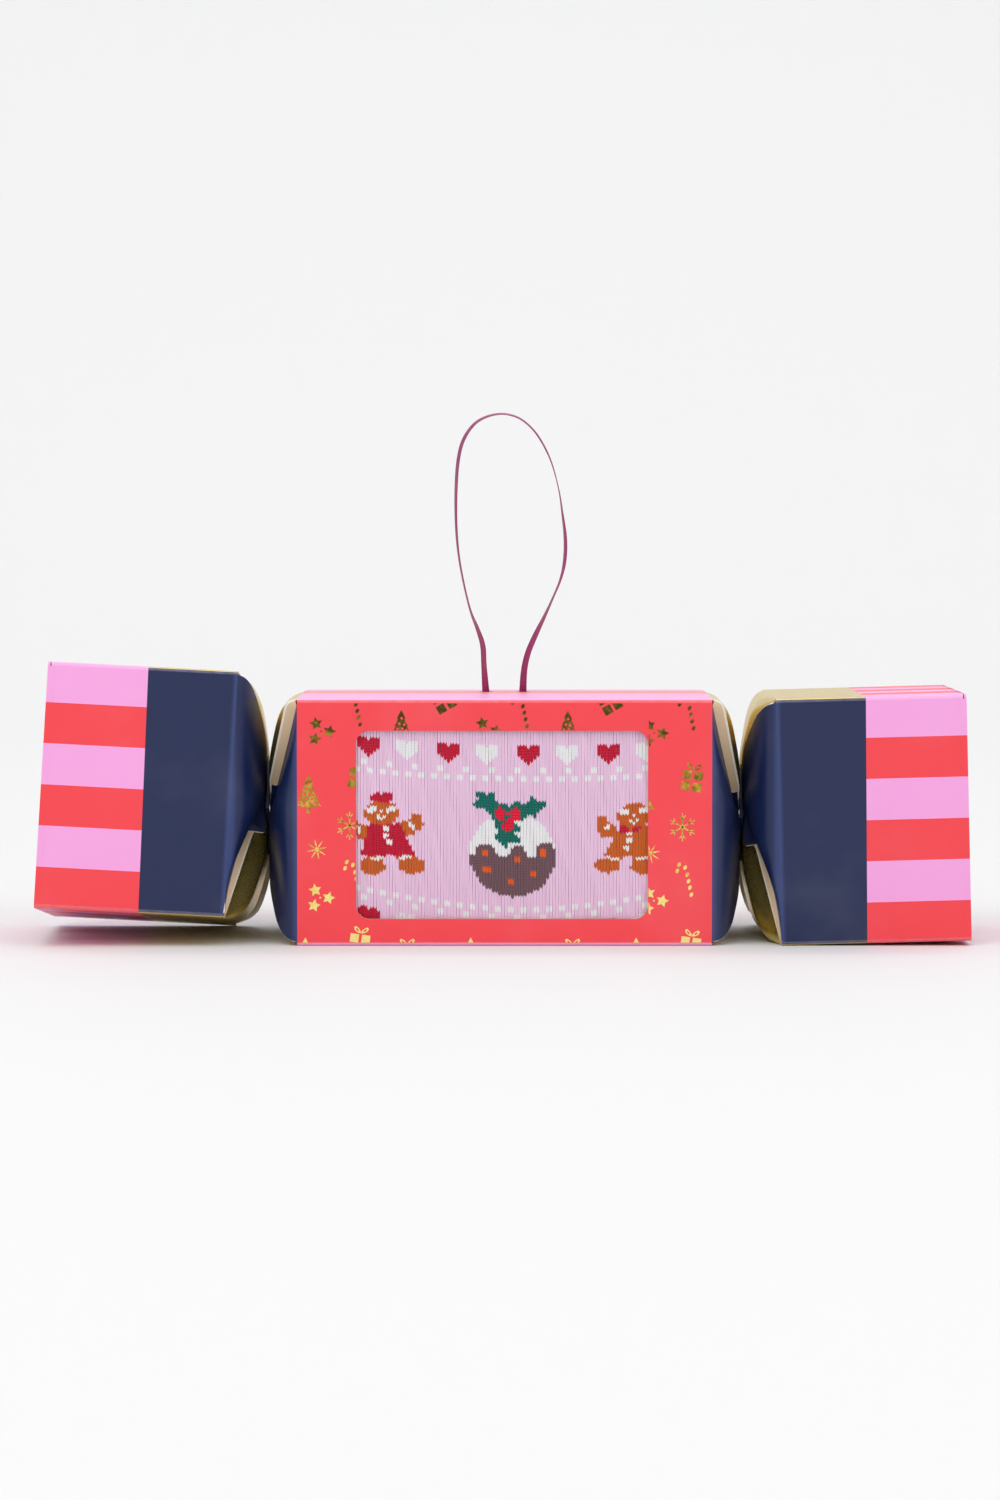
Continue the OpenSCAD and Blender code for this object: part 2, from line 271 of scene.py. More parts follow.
def card_finish(sh, colour, printed, metal=None):
    """Print over bare board, with the paper's tooth and a slight wave in the sheet. Metal is
    the gold ink's share, as a number for a whole surface or as a socket."""
    fine = sh.noise(3800, 3, 0.65)
    wave = sh.noise(55, 2, 0.5)
    tone = sh.noise(30, 3, 0.6)
    colour = sh.blend(sh.math("MULTIPLY", sh.minus(tone, 0.5), 0.10, clamp=True),
                      colour, (1, 1, 1, 1))
    sh.set(Base_Color=sh.blend(printed, board_colour(sh), colour))
    rough = sh.plus(BOARD_ROUGH, sh.times(printed, -PRINT_GLOSS))
    rough = sh.plus(rough, sh.times(sh.minus(fine, 0.5), 0.10))
    if isinstance(metal, float):
        sh.set(Metallic=INK_METAL * metal)
        rough = sh.minus(rough, INK_GLOSS * metal)
    elif metal is not None:
        metal = sh.times(metal, printed)
        sh.set(Metallic=sh.times(metal, INK_METAL))
        rough = sh.minus(rough, sh.times(metal, INK_GLOSS))
    normal = sh.bump(fine, 0.00001, 0.5, sh.bump(wave, 0.0004, 0.5))
    return sh.set(Roughness=rough, Specular_IOR_Level=0.45, Normal=normal)


def centre_card(wall):
    """The middle box's print: coral front and back, pink top and bottom, and a painted
    reflection, a peach band, across the top.
    """
    sh = Shader("print_centre_" + wall)
    _, y, z = sh.xyz()
    z = sh.minus(z, HALF * MM)
    d, corner = tube_distance(sh, y, z)
    if wall == "top":
        # The peach band is a painted reflection on the pink top.
        near, far = (sh.above(y, edge * MM, TOP_REFLECTION_SOFT * MM) for edge in TOP_REFLECTION_BAND)
        colour = sh.blend(sh.times(near, sh.rest(far)), PINK, TOP_REFLECTION)
    elif wall == "bottom":
        colour = PINK
    else:
        low = sh.rest(sh.above(z, (PINK_FOOT - HALF) * MM, 0.05 * MM))
        colour = sh.blend(low, CORAL, PINK)
    return card_finish(sh, worn(sh, colour, corner, 0.35, "FFC9C4"), printed_there(sh, d))


def cap_shader(s, name):
    """A shader for an end box, with the coordinates of the box's own frame, X outwards."""
    sh = Shader(f"print_{END[s]}_{name}")
    n = sh.add("ShaderNodeMapping", {"Vector": sh.coord, "Location": cap_origin(s) * MM,
                                     "Rotation": cap_rotation(s)}, vector_type="TEXTURE")
    x, y, z = sh.xyz(n.outputs[0])
    return sh, sh.times(x, float(s)), y, z


def cap_card(s, wall):
    """An end box's print: stripes round all four walls, and a band beside the neck."""
    sh, x, y, z = cap_shader(s, "cap_" + wall)
    d, corner = tube_distance(sh, y, z)
    upright, mirrored = wall in ("front", "back"), wall in ("front", "bottom")
    along = sh.times(z if upright else y, -1.0 if mirrored else 1.0)
    phase, coral = striped(sh, along)
    coral = sh.times(coral, sh.rest(sh.above(phase, 0.999, 0.001)))
    band_end = sh.plus(NAVY_LEN * MM, sh.times(z, NAVY_SLANT))
    beyond = sh.above(sh.minus(x, band_end), 0.0)
    if upright:
        # Beside the neck's crease the navy turns paler: a painted highlight.
        fold_highlight = sh.rest(sh.above(x, 0.9 * MM, 0.7 * MM))
        band, metal = sh.blend(sh.times(fold_highlight, 0.8), NAVY, NAVY_HIGHLIGHT), None
    else:
        band, metal = GOLD_INK, sh.rest(beyond)
    colour = sh.blend(beyond, band, sh.blend(coral, PINK, CORAL))
    return card_finish(sh, worn(sh, colour, corner, 0.25, "E6DCE6"), printed_there(sh, d), metal)


def assign(obj, mat):
    obj.data.materials.clear()
    obj.data.materials.append(mat)


def lid_card(s):
    """The lid and its edges carry on the walls' stripes, and it is bare board inside."""
    sh, x, y, z = cap_shader(s, "lid")
    edge = printed_there(sh, tube_distance(sh, y, z)[0])
    side = sh.above(sh.minus(sh.math("ABSOLUTE", y), sh.math("ABSOLUTE", z)), 0)
    side = sh.times(side, edge)
    over = sh.times(sh.times(z, side), sh.math("SIGN", y))
    along = sh.plus(sh.times(y, sh.rest(side)), over)
    colour = sh.blend(striped(sh, along)[1], PINK, CORAL)
    face = sh.above(x, (CAP_LEN - PRINT_DEPTH) * MM)
    return card_finish(sh, colour, sh.math("MAXIMUM", face, edge))


for w in WALLS:
    assign(NODES[f"centre_{w}_panel"], centre_card(w))
board = card_finish(Shader("bare_board"), BOARD, 0.0)
for node in ("centre_seam_flap", "card_insert"):
    assign(NODES[node], board)
for s in END:
    for w in WALLS:
        assign(NODES[f"{END[s]}_cap_{w}_panel"], cap_card(s, w))
    for node in ("cap_seam_flap", "tuck_tongue", "dust_flap_front", "dust_flap_back"):
        assign(NODES[f"{END[s]}_{node}"], board)
    assign(NODES[END[s] + "_end_lid"], lid_card(s))


# ---- meshes
def new_piece(name, verts, faces, mats, body=None, face_mats=None, sharp=None):
    """A mesh in the row frame from points in millimetres. Faces that meet at more than the
    sharp angle keep their edge."""
    mesh = bpy.data.meshes.new(name)
    mesh.from_pydata([Vector(v) * MM for v in verts], [], faces)
    mesh.validate()
    for m in mats:
        mesh.materials.append(m)
    if face_mats:
        mesh.polygons.foreach_set("material_index", face_mats)
    mesh.polygons.foreach_set("use_smooth", [True] * len(mesh.polygons))
    mesh.update()
    obj = in_scene(name, mesh)
    if sharp is not None:
        mesh.set_sharp_from_angle(angle=rad(sharp))
    if body:
        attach(obj, body)
    return obj


def shares(n):
    """0 to 1 in n even places."""
    return [i / (n - 1) for i in range(n)]


def face_outwards(obj):
    bm = bmesh.new()
    bm.from_mesh(obj.data)
    bmesh.ops.recalc_face_normals(bm, faces=bm.faces)
    bm.to_mesh(obj.data)
    bm.free()


# ---- end box rims
RIM_IN, RIM_PAST = 1.6, 0.02  # from the box's end, inwards and outwards
RIM_SKIN, RIM_PAPER = 0.01, 0.05  # the inner and outer side of the paper


def rim(s):
    """The printed paper of three walls, carried on over the lid's edges."""
    e = HALF - CREASE
    section = [(-HALF, e)]
    for cy, a0 in ((-1, 180), (1, 270)):
        for a in range(a0, a0 + 91, 15):
            section.append((cy * e + CREASE * math.cos(rad(a)), -e + CREASE * math.sin(rad(a))))
    section.append((HALF, e))
    verts, faces, kinds = [], [], []
    for y, z in section:
        away = Vector((0, y - math.copysign(min(abs(y), e), y), z + min(-z, e) if z < 0 else 0))
        away = away.normalized() if away.length > 0 else Vector((0, 0, -1))
        for x, off in ((-RIM_IN, RIM_PAPER), (RIM_PAST, RIM_PAPER), (RIM_PAST, RIM_SKIN),
                       (-RIM_IN, RIM_SKIN)):
            verts.append(cap_point(s, CAP_LEN + x, *(Vector((0, y, z)) + away * off)[1:]))
    for i in range(len(section) - 1):
        a, b = 4 * i, 4 * i + 4
        y = section[i][0] + section[i + 1][0]
        z = section[i][1] + section[i + 1][1]
        side = 1 if abs(y) < abs(z) - 0.01 else 0 if y < 0 else 2
        for j in range(4):
            quad = (a + j, a + (j + 1) % 4, b + (j + 1) % 4, b + j)
            faces.append(quad if s > 0 else quad[::-1])
            kinds.append(side)
    last = 4 * len(section) - 4
    faces += [(3, 2, 1, 0), (last, last + 1, last + 2, last + 3)]
    kinds += [0, 2]
    mats = [NODES[f"{END[s]}_cap_{w}_panel"].data.materials[0]
            for w in ("front", "bottom", "back")]
    obj = new_piece(f"{END[s]}_cap_rim", verts, faces, mats, END[s] + "_cap", kinds, 30)
    face_outwards(obj)


for s in END:
    rim(s)


# ---- neck webs
CLEAR = 0.08  # each web's share of the waist that stays bare
FREE_FROM = 0.86  # where a web's pulled-in edge begins
NICK = 0.32  # what holds two webs together at a slit
LIP_BEHIND, LIP_PAST = 1.0, 0.6  # the turned-in strip: behind the slit, and past it
LIP_CARD, LIP_BOW = 0.4, 0.25


def reach(f, v, kind, folded):
    """How far out along the neck a web has come at the fall f: hardly bowed at its slit,
    full in the middle, and pulled in at its free edge where that is turned in."""
    straight = f ** 1.05 if kind == "inner" else 0.72 * f ** 1.45 + 0.28 * smooth(0.72, 1, f)
    full = 1 - (1 - math.sqrt(f)) ** 2
    full += 0.07 * smooth(0.3, 0.7, f) * (1 - smooth(0.93, 1, f))
    if kind == "inner":
        free = (1 - math.exp(-f / 0.018)) * min(1, 0.36 + 0.85 * f)
    else:
        free = 0.87 * f + 0.13 * smooth(0.72, 1, f)
    x = mix(straight, full, smooth(0, 0.45, v))
    return mix(x, free, smooth(FREE_FROM, 1, v)) if folded else x


def web_surface(s, kind, k):
    """The outer face of a web: a function of the fall f and of the place v along the crease."""
    e = HALF - CREASE
    if kind == "inner":
        crease = [Vector((s * LENGTH / 2, y, HALF + z)) for y, z in
                  (turned(-HALF, z, -k) for z in (e, -e))]
        turns, side = (0, 90), -1
    else:
        crease = [cap_point(s, 0, y, z) for y, z in (turned(-HALF, z, -k) for z in (-e, e))]
        turns, side = (0, -90), 1
    mid = waist_middle(s) + Vector((side * s * (WAIST_LEN / 2 + GAP), 0, 0))
    ends = [mid + Vector((0, *turned(-WAIST_R, 0, t - k + ROLL[s] / 2))) for t in turns]

    def at(f, v):
        a = crease[0].lerp(crease[1], v)
        w = ends[0].lerp(ends[1], mix(CLEAR, 1 - CLEAR, v))
        p = a.lerp(w, f)
        p.x = mix(a.x, w.x, reach(f, v, kind, k in (90, 270)))
        return p
    return at


def web_mesh(name, s, kind, k, mats):
    """A web as a sheet of card with its cut edges, its slit beside the next web and its nicks."""
    at = web_surface(s, kind, k)
    beside = web_surface(s, kind, k + (90 if kind == "inner" else -90))
    falls = [f ** 1.35 for f in shares(64)]
    places = [v * FREE_FROM for v in shares(19)]
    places += [FREE_FROM + (1 - FREE_FROM) * v for v in shares(9)[1:]]
    nicks = {21, 40} if kind == "inner" else {17, 36, 52}
    grid = []
    for i, f in enumerate(falls):
        slit = at(f, 0).lerp(beside(f, 1), smooth(0.755, 0.80, f) * 0.93)
        row = [slit] + [at(f, v) for v in places[1:]]
        if i in nicks:
            row[-1] = row[-1] + (row[-1] - row[-2]).normalized() * NICK
        grid.append(row)
    R, C = len(grid), len(grid[0])

    def inside_of(i, j):
        """The inner face's point: at the waist it follows the row before."""
        r = min(i, R - 2)
        down = grid[r + 1][j] - grid[max(r - 1, 0)][j]
        along = grid[r][min(j + 1, C - 1)] - grid[r][max(j - 1, 0)]
        thinned = smooth(-0.03, 0.02, falls[i]) if i else 0.5
        return grid[i][j] + down.cross(along).normalized() * s * CARD * thinned

    outer = [p for row in grid for p in row]
    inner = [inside_of(i, j) for i in range(R) for j in range(C)]
    faces, kinds, N = [], [], R * C

    def quad(a, b, c, d, m):
        faces.append((a, b, c, d) if s > 0 else (d, c, b, a))
        kinds.append(m)

    for i in range(R - 1):
        for j in range(C - 1):
            a = i * C + j
            quad(a, a + C, a + C + 1, a + 1, 0)
            quad(N + a, N + a + 1, N + a + C + 1, N + a + C, 1)
    for i in range(R - 1):
        a, b = i * C, i * C + C - 1
        quad(a, N + a, N + a + C, a + C, 2)
        quad(b, b + C, N + b + C, N + b, 2)
    for j in range(C - 1):
        a, b = j, (R - 1) * C + j
        quad(a, a + 1, N + a + 1, N + a, 2)
        quad(b, N + b, N + b + 1, b + 1, 2)
    return new_piece(name, outer + inner, faces, mats, None, kinds, 50)


def lip_mesh(name, s, kind, k, mats):
    """The narrow strip beside a web's free edge, turned in behind the next web's slit."""
    at = web_surface(s, kind, k)
    beside = web_surface(s, kind, k + (-90 if kind == "inner" else 90))
    verts, faces, kinds = [], [], []
    falls = [mix(0.004, 0.86, f ** 1.5) for f in shares(60)]
    axis = waist_middle(s)
    for f in falls:
        cut, slit = at(f, 1), beside(f, 0)
        inwards = Vector((0, axis.y - cut.y, axis.z - cut.z)).normalized()
        slit = slit + inwards * LIP_BEHIND
        slit = slit + (slit - cut).normalized() * LIP_PAST
        cut = cut + inwards * 0.05
        down = (at(f + 0.01, 1) - at(f, 1)).normalized()
        out = down.cross(cut - slit).normalized()
        if out.dot(inwards) > 0:
            out = -out
        for q in (0, 0.5, 0.84, 1):
            p = slit.lerp(cut, q) + out * LIP_BOW * math.sin(math.pi * q * 0.9)
            verts += [p, p - out * LIP_CARD]
    n = 8  # points in one row: four places, two faces
    for i in range(len(falls) - 1):
        a, b = i * n, (i + 1) * n
        for j in (0, 2, 4):
            faces += [(a + j, a + j + 2, b + j + 2, b + j),
                      (a + j + 1, b + j + 1, b + j + 3, a + j + 3)]
            # The front face's outer strip, next to the web's cut edge, takes the cut edge's
            # white: a painted highlight along the fold.
            kinds += [1 if j == 4 else 0, 0]
        faces += [(a, b, b + 1, a + 1), (a + 6, a + 7, b + 7, b + 6)]
        kinds += [0, 1]
    ring = (0, 2, 4, 6, 7, 5, 3, 1)
    faces += [tuple(reversed(ring)), tuple((len(falls) - 1) * n + j for j in ring)]
    kinds += [0, 0]
    obj = new_piece(name, verts, faces, mats, None, kinds, 40)
    face_outwards(obj)
    return obj


def web_print(s, gold):
    """A neck's print: gold ink, or navy with a painted highlight, paler beside both creases."""
    sh = Shader(f"print_{END[s]}_neck_" + ("gold" if gold else "navy"))
    if gold:
        return card_finish(sh, GOLD_INK, 1.0, 1.0)
    x = sh.math("ABSOLUTE", sh.xyz()[0])
    near, far = (sh.math("ABSOLUTE", sh.minus(x, crease * MM))
                 for crease in (LENGTH / 2, LENGTH / 2 + NECK))
    # Paler navy near the creases: a painted highlight.
    fold_highlight = sh.rest(sh.above(sh.math("MINIMUM", near, far), 1.1 * MM, 0.9 * MM))
    colour = sh.blend(sh.times(fold_highlight, 0.7), NAVY, NAVY_HIGHLIGHT)
    return card_finish(sh, colour, 1.0)


def edge_card():
    sh = Shader("cut_edge_and_highlight")
    fibres = sh.noise(2400, 4, 0.7)
    colour = sh.blend(sh.times(fibres, 0.5), EDGE, lin("D9CBB8"))
    return sh.set(Base_Color=colour, Roughness=0.8, Normal=sh.bump(fibres, 0.00002, 0.6))


cut_edge_and_highlight = edge_card()
for s in END:
    navy, gold = web_print(s, False), web_print(s, True)
    for kind in ("inner", "outer"):
        for w, k in WALLS.items():
            ink, slot = (navy, "navy_card") if w in ("front", "back") else (gold, "gold_card")
            node = f"{END[s]}_neck_{kind}_web_{w}"
            web = web_mesh(node + "_card", s, kind, k, [ink, board, cut_edge_and_highlight])
            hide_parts(node)
            lip = lip_mesh(f"{END[s]}_neck_{kind}_lip_{w}", s, kind, k, [board, cut_edge_and_highlight])
            for piece in (web, lip):
                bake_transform(piece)
    assign(NODES[END[s] + "_neck_waist"], navy)

# ---- knitted socks
WALE, COURSE = 0.8405, 0.733  # stitch width and height
ROWS = (-31, 47)  # stitches laid each way from the pattern's middle
STRIPS = {"left": (-51, -19), "middle": (-19, 13), "right": (13, 46)}
KNIT_X, KNIT_Z = 2.07, 23.7  # where the pattern's middle lies
BACK_AT = -30.95  # where the stitches are rooted on the front sock
SOCK_HALF, SOCK_LOW, SOCK_HIGH = 50.9, 1.0, 60.0
YARNS = {"pink": "FCD6F0", "crimson": "D00E3A", "white": "FDFDFF", "ginger": "D66A28",
         "plum": "7C5C64", "orange": "F2661C", "green": "007468", "berry": "EC1440"}

# The figures are the builder's own, in stitches from each one's middle.
BERRIES = ((-3.7, 14.8), (0.8, 14.7), (-1.4, 10.7))
DRIPS = ((-8.3, 3.5, 4.3), (1.6, 2.7, 4.0), (10.1, 3.2, 5.4))  # place, half width, height
FRUIT = ((-8, 0.8), (1.6, -1.3), (9.7, 0.9), (-7.9, -5.8), (6.7, -6.8), (-0.7, -9.6))
FACE = [(-2.9, 11.6, 2.4, 2.0), (2.9, 11.6, 2.4, 2.0), (0.1, 10.8, 1.1, 0.9),
        (-1.2, 8.9, 1.1, 1.1), (1.3, 8.9, 1.1, 1.1), (0.1, 7.9, 1.4, 0.9)]
GIRL_BUTTONS = ((1.0, 4.8), (0.6, 2.3), (1.2, -0.3))
BOY_BUTTONS = ((-0.9, 3.4), (-0.5, 0.8), (-1.1, -1.9))
HOLLY = [
    [(-12.2, 17.7), (-11.2, 18.8), (-10.3, 19.3), (-11.2, 21.3), (-10.9, 22.7), (-9.9, 22.2),
     (-9.4, 22.8), (-8.6, 21.6), (-7.7, 22.1), (-6.4, 23.5), (-5.8, 22.7), (-5.8, 20.4),
     (-5.2, 19.5), (-4.3, 18.7), (-3.2, 19), (-2.3, 19), (-1.7, 17.9), (-1.2, 16.5),
     (-1.7, 12.2), (-5.6, 11.9), (-6.3, 13.5), (-7.4, 14.6), (-8.2, 16), (-9.4, 16.5),
     (-11.2, 16.7)],
    [(-1, 17.3), (0.2, 18.5), (0.4, 19.6), (2.1, 19.6), (2.8, 18.6), (4.2, 19), (5.2, 20.1),
     (5.7, 21.5), (6.6, 20.4), (7.6, 19.6), (9, 19.3), (10.2, 19.9), (10.6, 18.7),
     (9.5, 17.3), (8.3, 16.5), (7.7, 15.7), (7.6, 14), (6.6, 14), (5.6, 14.8), (4, 14),
     (2.8, 12.8), (0, 12.5), (-1.6, 14)],
    [(-4.8, 11.6), (-5.2, 10), (-4.2, 8.8), (-4.6, 7.4), (-6.2, 6.5), (-5.2, 5.7),
     (-4, 5.7), (-3.9, 4), (-2.9, 3.5), (-2.4, 2.6), (-1.7, 3.2), (-1, 4), (0.4, 4.9),
     (2.1, 5), (2.5, 6), (1.2, 6.8), (0.4, 7.6), (1.6, 8.5), (2.5, 9.7), (1.7, 10.9),
     (0.6, 11.6), (-1.5, 13.4)],
]


def inside(poly, x, y):
    """Whether a point lies in a polygon, by crossings."""
    hit, (ax, ay) = False, poly[-1]
    for bx, by in poly:
        if (ay > y) != (by > y) and x < ax + (y - ay) / (by - ay) * (bx - ax):
            hit = not hit
        ax, ay = bx, by
    return hit


def oval(x, y, cx, cy, rx, ry):
    return ((x - cx) / rx) ** 2 + ((y - cy) / ry) ** 2 <= 1


def block(x, y, cx, cy, w, h):
    return abs(x - cx) <= w / 2 and abs(y - cy) <= h / 2


def pudding(x, y):
    """A round pudding with icing, holly and fruit, in stitches from its middle."""
    if any(oval(x, y, *b, 1.8, 2.4) for b in BERRIES):
        return "berry"
    if any(inside(p, x, y) for p in HOLLY):
        return "green"
    if not oval(x, y, 0, 0, 13.3, 15):
        return None
    drip = -0.4 + max(h * math.sqrt(max(0, 1 - ((x - c) / w) ** 2)) for c, w, h in DRIPS)
    if x < -9.5:
        drip = max(drip, -0.2)
    if y > drip:
        return "white"
    return "orange" if any(block(x, y, *f, 2.2, 2.2) for f in FRUIT) else "plum"


def biscuit(x, y, girl):
    """A gingerbread figure: hair bow or bow tie, face, buttons, dress or body, limbs."""
    if girl and any(oval(x, y, cx, 16.1, 1.9, 1.9) for cx in (-1.3, 1.8)):
        return "crimson"
    if any(block(x, y, *b) for b in FACE):
        return "white"
    if oval(x, y, 0, 10.4, 5.2, 4.6):
        return "ginger"
    if any(block(x, y, *b, 1.9, 1.6) for b in (GIRL_BUTTONS if girl else BOY_BUTTONS)):
        return "white"
    if girl:
        if 6.6 >= y > -5.2 and abs(x - 0.8 + 0.11 * (6.6 - y)) < 4.6 + (6.6 - y) * 0.33:
            return "crimson"
    elif any(oval(x, y, cx, 5.9, 1.6, 2.0) for cx in (-2.6, 1.0)):
        return "crimson"
    elif 6.4 >= y > -5.0 and abs(x) < 4.3 + (6.4 - y) * 0.28:
        return "ginger"
    for side in (-1, 1):
        px = x * side
        up = (side > 0) == girl
        hand = (9.3, 4.8) if not up else (10.7, 6.9) if girl else (9.8, 7.8)
        arm = (7.4, 4.8) if up else (6.9, 3.6)
        cuff = (hand[0] - 1.6, hand[1] - 1.0) if up else (7.8, 4.2)
        if block(px, y, *cuff, 1.1, 2.8):
            return "white"
        if oval(px, y, *hand, 2.0, 3.2) or oval(px, y, *arm, 2.7, 2.8):
            return "ginger"
        if block(px, y, 4.4, -5.9, 3.8, 1.1):
            return "white"
        if oval(px, y, 6.1 if girl else 5.5, -8.7, 4.0, 3.2) or block(px, y, 3.4, -5.6, 3.4, 2.4):
            return "ginger"
    return None


FIGURES = [  # shape, middle, height, lean, tilts low and high
    (pudding, 0, 0, 1, 0, (0, 0)),
    (lambda x, y: biscuit(x, y, True), -41, 0.14, 1.07, 0.206, (0.25, 0.17)),
    (lambda x, y: biscuit(x, y, False), 38, 2.36, 1.01, -0.16, (-0.2, 0))]


def heart(x, y):
    y += 0.4
    lobe = math.hypot(abs(x) - 1.7, y - 0.9) < 2.15
    return lobe or (y < 0.9 and y > -3.4 and abs(x) < (y + 3.8) * 0.88)


def yarn_at(col, row):
    """The yarn of a stitch: hearts, dots and figures on a plain ground."""
    for first, kind in ((5, "crimson"), (17, "white")):
        x = (col - first + 12) % 25 - 12
        for middle in (36.8, -28.5):
            if heart(x, row - middle):
                return kind
    if row in (27, 28, -20, -19) and (col + 1) % 4 < 2:
        return "white"
    if row in (30, 31, -23, -22) and (col - 1) % 8 < 2:
        return "white"
    for shape, cx, cy, tall, lean, tilt in FIGURES:
        y = (row - cy - (col - cx) * mix(*tilt, min(max((row + 8) / 21, 0), 1))) / tall
        kind = shape((col - cx) / 1.015 + lean * min(y - 7, 0), y)
        if kind:
            return kind
    return "pink"


def knit_place(col, row):
    """Where a stitch lies on the sock: the rows bow up towards both ends, most low down."""
    x = KNIT_X + col * WALE
    z = KNIT_Z + row * COURSE
    t = min(max((row + 19.5) / 48, 0), 1)
    lift = mix(5.2, 1.75, t) * (abs(x - mix(5.3, 10, t)) / 40.7) ** mix(1.65, 2.2, t)
    bulge = 1.0 * (1 - min(1, abs(x) / 46) ** 3) * (1 - min(1, abs(z - 31.8) / 29) ** 3)
    sway = 0.04 * math.sin(0.9 * col + 0.21 * row) + 0.03 * math.sin(0.37 * row + 1.7 * col)
    return x + sway * 0.6, BACK_AT - bulge, z + lift + sway


def stitch_mesh(first, last):
    """The wales from first to last: each stitch a V of two plump legs, tucked in at its ends."""
    names = list(YARNS)
    leg = [(0.0, -0.84, 0.06, 0.10), (0.3, -0.40, 0.19, 0.24), (0.75, 0.34, 0.20, 0.24),
           (1.0, 0.84, 0.06, 0.05)]
    verts, faces, kinds, painted_shade_depth = [], [], [], []
    for row in range(*ROWS):
        for col in range(first, last):
            kind = names.index(yarn_at(col, row))
            x, y, z = knit_place(col, row)
            wide = WALE * (1 + random.uniform(-0.04, 0.04))
            for side in (-1, 1):
                base = len(verts)
                for t, dz, half, deep in leg:
                    cx = x + side * wide * mix(0.06, 0.37, t)
                    cz = z + dz * COURSE
                    cy = y - deep * 0.55 + 0.12 * (1 - t)
                    h = half * WALE / 0.857
                    verts += [(cx - h, cy + 0.1, cz), (cx - h * 0.35, cy - deep * 0.6, cz),
                              (cx + h * 0.55, cy - deep * 0.5, cz), (cx + h, cy + 0.1, cz),
                              (cx, cy + 0.22, cz)]
                    # Depth 1 marks the back of each leg and 0.75 its tucked-in ends: there the
                    # yarn gets painted shade.
                    tuck = 0.75 if t in (0.0, 1.0) else 0.0
                    painted_shade_depth += [1.0, tuck, tuck, 1.0, 1.0]
                for i in range(3):
                    for j in range(5):
                        a, b = base + 5 * i + j, base + 5 * i + (j + 1) % 5
                        faces.append((a, b, b + 5, a + 5))
                        kinds.append(kind)
                faces.append(tuple(base + j for j in range(4, -1, -1)))
                faces.append(tuple(base + 15 + j for j in range(5)))
                kinds += [kind, kind]
    return verts, faces, kinds, painted_shade_depth


def yarn(name, code):
    """Knitting yarn: fine twisted fibres, soft sheen, slow changes in tone along a wale, and
    painted shade where the legs sink back.
    """
    sh = Shader("yarn_" + name)
    twist = sh.noise(1, 2, 0.6, sh.scaled((9000, 9000, 3500)))
    streak = sh.noise(1, 2, 0.6, sh.scaled((1150, 90, 60)))
    tone = sh.plus(sh.times(twist, 0.5), sh.times(streak, 0.25))
    dark, light, shade = ((*(min(1, v * k + more) for v in lin(code)[:3]), 1)
                          for k, more in ((0.90, 0), (1.14, 0.01), (0.62, 0)))
    colour = sh.ramp(tone, [(0.25, dark), (0.62, light)])
    # Painted shade: the yarn darkens towards its shade colour where the legs sink back and tuck
    # in.
    painted_shade_depth = sh.add("ShaderNodeAttribute", attribute_name="painted_shade_depth").outputs["Fac"]
    colour = sh.blend(sh.times(sh.above(painted_shade_depth, 0.72, 0.28), 0.8), colour, shade)
    return sh.set(Base_Color=colour, Roughness=0.85, Specular_IOR_Level=0.2,
                  Sheen_Weight=0.12, Sheen_Roughness=0.5, Normal=sh.bump(twist, 0.00004, 0.5))


def sock_body(name, y0, y1, belly, mat):
    """A folded sock: a crowned pad whose ends are rounded folds and whose long edges pull in."""
    nx, nz, verts, faces = 60, 34, [], []
    mid, deep = (y0 + y1) / 2, (y1 - y0) / 2
    for side in (-1, 1):
        for i in range(nx):
            for j in range(nz):
                u, w = -math.cos(math.pi * i / (nx - 1)), -math.cos(math.pi * j / (nz - 1))
                full = (1 - abs(u) ** 7) ** 0.5 * (1 - abs(w) ** 9) ** 0.5
                soft = 1 - 0.05 * abs(w) ** 3 - 0.03 * abs(u) ** 3
                ripple = 0.16 * math.sin(5.2 * u + 2.1 * w) * (1 - w * w) * (1 - u * u)
                y = mid + side * (deep * full * soft + ripple * full)
                if side < 0:
                    y -= belly * (1 - abs(u) ** 3) * (1 - abs(w) ** 3)
                x = u * SOCK_HALF * (1 - 0.012 * (1 - w * w))
                z = mix(SOCK_LOW, SOCK_HIGH, (w + 1) / 2)
                z += 0.25 * math.sin(3 * u) * (1 - abs(w)) * side
                verts.append((x, y, z))
    n = nx * nz
    for i in range(nx - 1):
        for j in range(nz - 1):
            a = i * nz + j
            faces += [(a, a + nz, a + nz + 1, a + 1),
                      (n + a, n + a + 1, n + a + nz + 1, n + a + nz)]
    obj = new_piece(name, verts, faces, [mat], sharp=35)
    weld = obj.modifiers.new("weld", "WELD")
    weld.merge_threshold = 0.00002
    bpy.context.view_layer.objects.active = obj
    obj.select_set(True)
    bpy.ops.object.modifier_apply(modifier="weld")
    obj.select_set(False)
    return obj


def knit_ground():
    """Plain knit seen from afar: the V stitches as bump, and as painted shade, darker pink in the
    grooves between them.
    """
    sh = Shader("knit_ground")
    x, _, z = sh.xyz()
    u = sh.math("FRACT", sh.math("DIVIDE", x, WALE * MM))
    v = sh.math("ABSOLUTE", sh.minus(u, 0.5))
    w = sh.math("FRACT", sh.plus(sh.math("DIVIDE", z, COURSE * MM), v))
    groove = sh.math("MINIMUM", sh.times(w, 3.0), sh.times(v, 5.0))
    groove = sh.math("MINIMUM", groove, sh.times(sh.rest(w), 3.0))
    height = sh.math("MINIMUM", groove, 1.0)
    # Darker pink in the grooves is painted shade.
    colour = sh.blend(height, lin("E0B0D4"), lin(YARNS["pink"]))
    return sh.set(Base_Color=colour, Roughness=0.9, Sheen_Weight=0.2,
                  Normal=sh.bump(height, 0.0002, 0.8))


